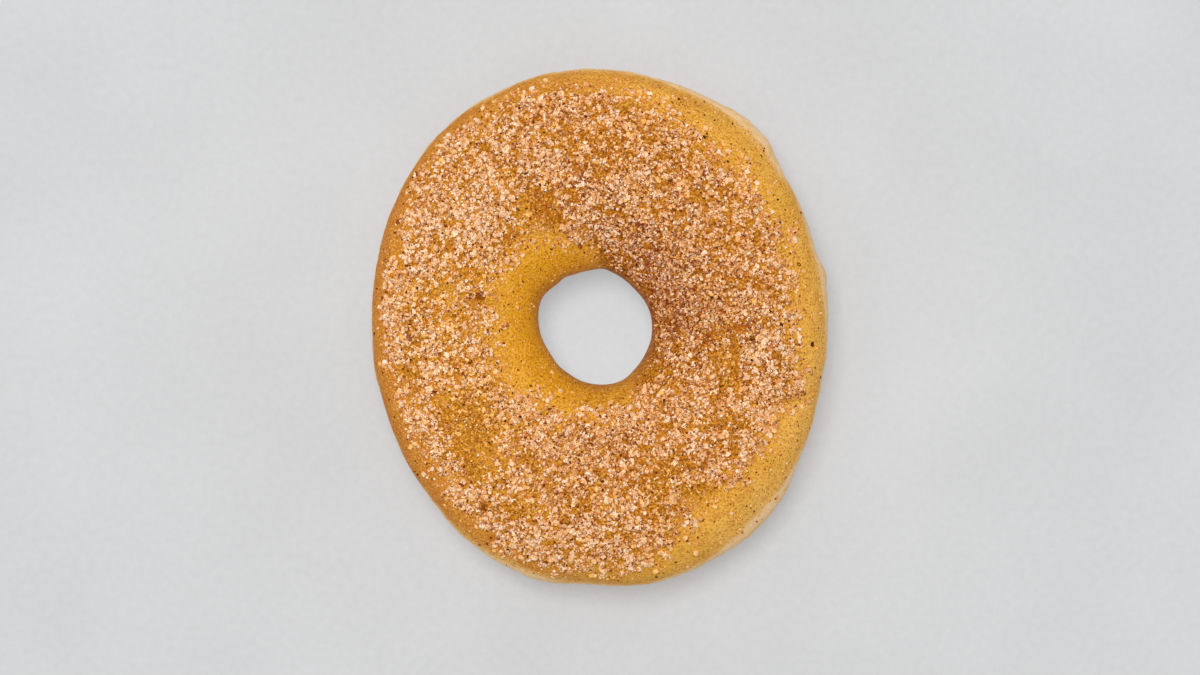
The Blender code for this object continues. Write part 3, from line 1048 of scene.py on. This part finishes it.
# Single larger specks, each as (x, y, length), and crumbs of many, each as (x, y, spread, count)
LARGE_SPECKS = (
    (-0.0212, -0.0221, 0.0004), (0.0347, 0.0005, 0.0007), (0.0408, -0.0032, 0.0007),
    (0.0214, 0.0057, 0.0005), (-0.0141, 0.0294, 0.0005), (-0.0141, 0.0227, 0.0004),
    (-0.0279, 0.0244, 0.0004), (-0.0349, 0.0075, 0.0004), (-0.0339, 0.0020, 0.0004),
    (0.0152, 0.0440, 0.0005), (0.0342, 0.0246, 0.0005), (0.0347, 0.0201, 0.0004),
    (0.0200, 0.0365, 0.0005),
)
LARGE_SPECK_SIZES = ((0.5, 0.8), (0.4, 0.6))
LARGE_SPECK_TILT = 0.2
LARGE_SPECK_PALENESS = 0.1
CRUMBS = ((-0.0234, 0.0056, 0.0006, 9), (-0.0222, -0.0343, 0.0003, 5))
CRUMB_LENGTH = (0.0003, 0.0006)
CRUMB_SIZES = ((0.6, 0.9), (0.5, 0.7))
CRUMB_PALENESS = (0.8, 1.0)

DARK_BARK = shade(74, 36, 8)
PALE_BARK = shade(150, 82, 18)

bark, bark_shader, wire = new_material("ground_cinnamon", 0.8, 0.0)
speck_map = wire.node("ShaderNodeUVMap", {"uv_map": "OFBake"}, {})
paler = wire.node("ShaderNodeSeparateXYZ", {}, {"Vector": speck_map}, output="X")
bark_colour = wire.blend(paler, DARK_BARK, PALE_BARK)
bark.node_tree.links.new(bark_colour.socket, bark_shader.inputs["Base Color"])
bark.node_tree.links.new((0.7 + paler * 0.2).socket, bark_shader.inputs["Roughness"])


def speck_chance(place):
    """The chance that a speck stuck at a place."""
    if from_rim(place) <= SPECKS_OFF_OUTLINE or from_hole(place) <= SPECKS_OFF_HOLE:
        return 0.0
    on_stains = SPECKS_ON_STAINS * bounded(patchwork(place, STAINS))
    return SPECKS_ON_BARE_SKIN + on_stains + SPECKS_ON_SUGAR * bounded(sugar_amount(place))


draw = random.Random(21)
shapes = [cut_block(draw, 1, SPECK_SLANT) for _ in range(SPECK_SHAPES)]
matrices, seats, tints = [], [], []
for rest in scatter(draw, SPECK_COUNT, SPECK_TRIES, speck_chance, heap, HIGHEST_SPECK):
    length = SPECK_LENGTH[0] + (SPECK_LENGTH[1] - SPECK_LENGTH[0]) * draw.random() ** FEW_LONG_SPECKS
    matrix, seat = grain_matrix(draw, rest, length, SPECK_SIZES, SPECK_TILT, SPECK_SINK)
    matrices.append(matrix)
    seats.append(seat)
    tints.append(draw.random())
for x, y, length in LARGE_SPECKS:
    rest = heap.drop(Vector((x, y, 0.0)))
    matrix, seat = grain_matrix(draw, rest, length, LARGE_SPECK_SIZES, LARGE_SPECK_TILT, SPECK_SINK)
    matrices.append(matrix)
    seats.append(seat)
    tints.append(LARGE_SPECK_PALENESS * draw.random())
for x, y, spread, count in CRUMBS:
    for _ in range(count):
        rest = heap.drop(Vector((draw.gauss(x, spread), draw.gauss(y, spread), 0.0)))
        length = draw.uniform(*CRUMB_LENGTH)
        matrix, seat = grain_matrix(draw, rest, length, CRUMB_SIZES, SPECK_TILT, SPECK_SINK)
        matrices.append(matrix)
        seats.append(seat)
        tints.append(draw.uniform(*CRUMB_PALENESS))
tints = np.array(tints)
coats = np.full(len(tints), SPECK_COAT)
piece, _, _ = join_grains("cinnamon_specks", shapes, np.array(matrices), np.array(seats), tints, coats, draw)
piece.data.materials.append(bark)

# The floor
# A plain pale board, lit a little from below, as a light table is, so that the hole stays bright. It isn't
# part of the doughnut.

FLOOR_RADIUS = 3.0
FLOOR_SIDES = 96
FLOOR_GLOW = 1.0
GLOW_REACH = (0.009, 0.022)
GLOW_UNDER_HOLE = 0.145
BOARD_GREY = (0.331, 0.334, 0.338, 1.0)
GLOW_BLUE = (0.64, 0.88, 1.0, 1.0)
BLACK = (0.0, 0.0, 0.0, 1.0)

board = bmesh.new()
bmesh.ops.create_circle(board, cap_ends=True, segments=FLOOR_SIDES, radius=FLOOR_RADIUS)
board_data = bpy.data.meshes.new("floor")
board.to_mesh(board_data)
board.free()
floor = bpy.data.objects.new("floor", board_data)
bpy.context.scene.collection.objects.link(floor)
board_material, board_shader, wire = new_material("pale_board", 0.9, 0.1)
cloud = wire.grain(0.045, detail=6.0)
speckle = wire.grain(0.0016, detail=3.0)
grey = 0.94 + (cloud - 0.5) * 0.16 + (speckle - 0.5) * 0.10
board_colour = wire.blend(grey, BLACK, BOARD_GREY)
board_material.node_tree.links.new(board_colour.socket, board_shader.inputs["Base Color"])
coordinates = wire.node("ShaderNodeTexCoord", {}, {}, output="Object")
from_middle = wire.node("ShaderNodeVectorMath", {"operation": "LENGTH"}, {0: coordinates}, output="Value")
under_hole = from_middle.between(GLOW_REACH[1], GLOW_REACH[0]) * GLOW_UNDER_HOLE
glow = wire.blend(under_hole, board_colour, GLOW_BLUE)
board_material.node_tree.links.new(glow.socket, board_shader.inputs["Emission Color"])
board_shader.inputs["Emission Strength"].default_value = FLOOR_GLOW
board_data.materials.append(board_material)

# Light and camera
# One large soft lamp high on the upper left, an even pale room, and a long lens straight above.

ROOM_LIGHT = 0.45
LAMP_SHARE = 0.73
LAMP_DISTANCE = 1.2
LAMP_SIZE = 0.45
LAMP_ELEVATION = 79.0
LAMP_AZIMUTH = 120.0

world = bpy.data.worlds.new("room")
bpy.context.scene.world = world
world.use_nodes = True
world.node_tree.nodes["Background"].inputs["Color"].default_value = (1.0, 1.0, 1.0, 1.0)
world.node_tree.nodes["Background"].inputs["Strength"].default_value = ROOM_LIGHT

elevation = math.radians(LAMP_ELEVATION)
away = round_point(LAMP_DISTANCE * math.cos(elevation), LAMP_AZIMUTH)
away.z = LAMP_DISTANCE * math.sin(elevation)
lamp_data = bpy.data.lights.new("softbox", "AREA")
lamp_data.shape = "DISK"
lamp_data.size = LAMP_SIZE
lamp_data.energy = LAMP_SHARE * math.pi**2 * LAMP_DISTANCE**2 / math.sin(elevation)
lamp = bpy.data.objects.new("softbox", lamp_data)
lamp.location = away
lamp.rotation_euler = away.to_track_quat("Z", "Y").to_euler()
bpy.context.scene.collection.objects.link(lamp)

PICTURE_WIDTH = 0.2353
OUTLINE_HEIGHT = 0.0130
PICTURE_MIDDLE = Vector((0.0, -0.00196, 0.0))
LENS = 100.0
SENSOR = 36.0

camera_data = bpy.data.cameras.new("camera")
camera_data.lens = LENS
camera_data.sensor_width = SENSOR
camera = bpy.data.objects.new("camera", camera_data)
camera.location = PICTURE_MIDDLE + Vector((0.0, 0.0, OUTLINE_HEIGHT + PICTURE_WIDTH * LENS / SENSOR))
bpy.context.scene.collection.objects.link(camera)
bpy.context.scene.camera = camera
bpy.context.scene.view_settings.view_transform = "Standard"
